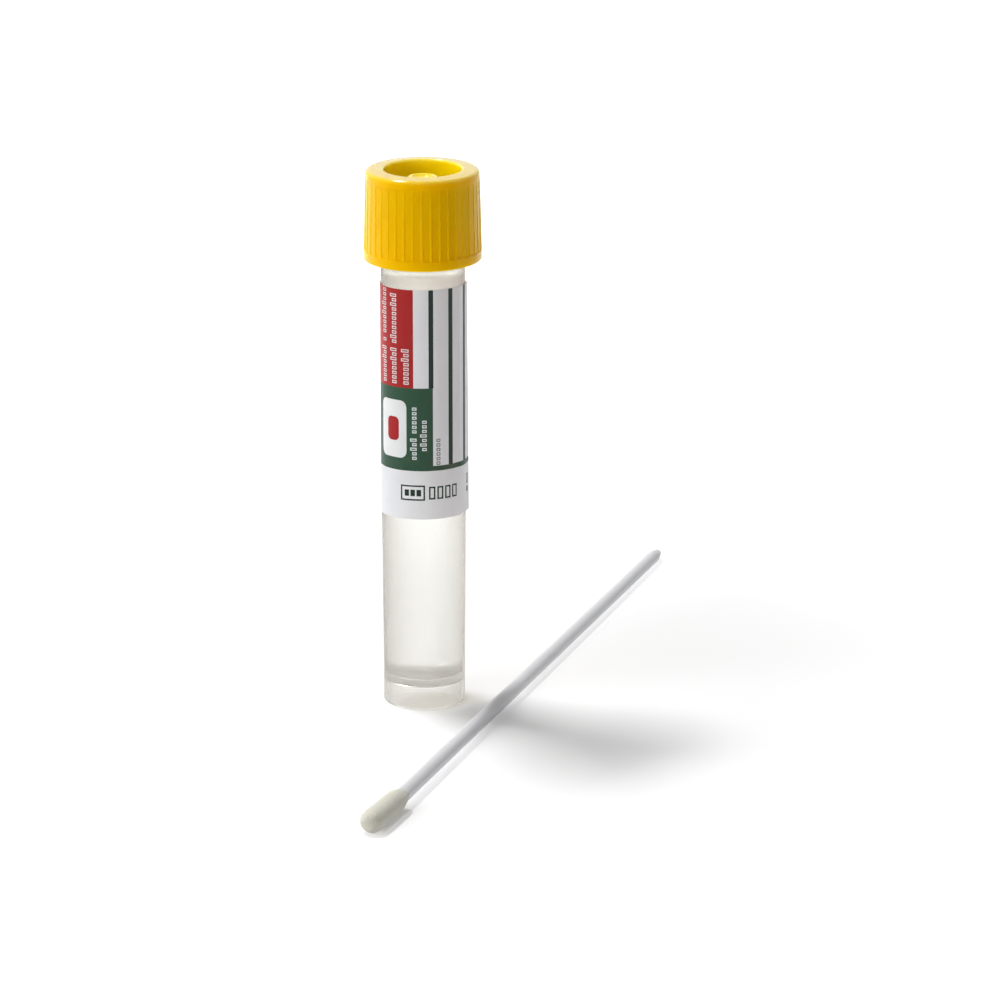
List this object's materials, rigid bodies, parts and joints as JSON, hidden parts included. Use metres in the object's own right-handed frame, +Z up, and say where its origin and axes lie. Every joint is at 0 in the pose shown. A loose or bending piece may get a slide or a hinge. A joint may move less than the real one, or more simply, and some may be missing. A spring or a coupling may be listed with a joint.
{
  "type": "specimen swab tube",
  "caption": "Skirted screw-cap specimen tube with a ribbed cap, a wrap label and clear solution inside, and a foam-tipped swab lying beside it.",
  "frame": {"origin": "centre of the tube's standing rim, on the surface that it and the swab rest on", "axes": "+Z up the tube's axis, -Y towards the front of the label, the swab lies on the +X side"},
  "size_m": [0.061, 0.1716, 0.1079],
  "materials": {
    "tube": "satin",
    "screw_cap": "gloss",
    "label": "satin",
    "solution": "gloss",
    "swab_shaft": "satin",
    "swab_bud": "matte"
  },
  "bodies": {
    "root": {"tube": "tube", "label": "label", "solution": "solution", "swab_shaft": "swab_shaft", "swab_bud": "swab_bud"},
    "cap": {"screw_cap": "screw_cap"}
  },
  "joints": [
    {"name": "cap_lift", "type": "slide", "parent": "root", "child": "cap", "axis": [0, 0, 1], "range_m": [0, 0.045]}
  ]
}
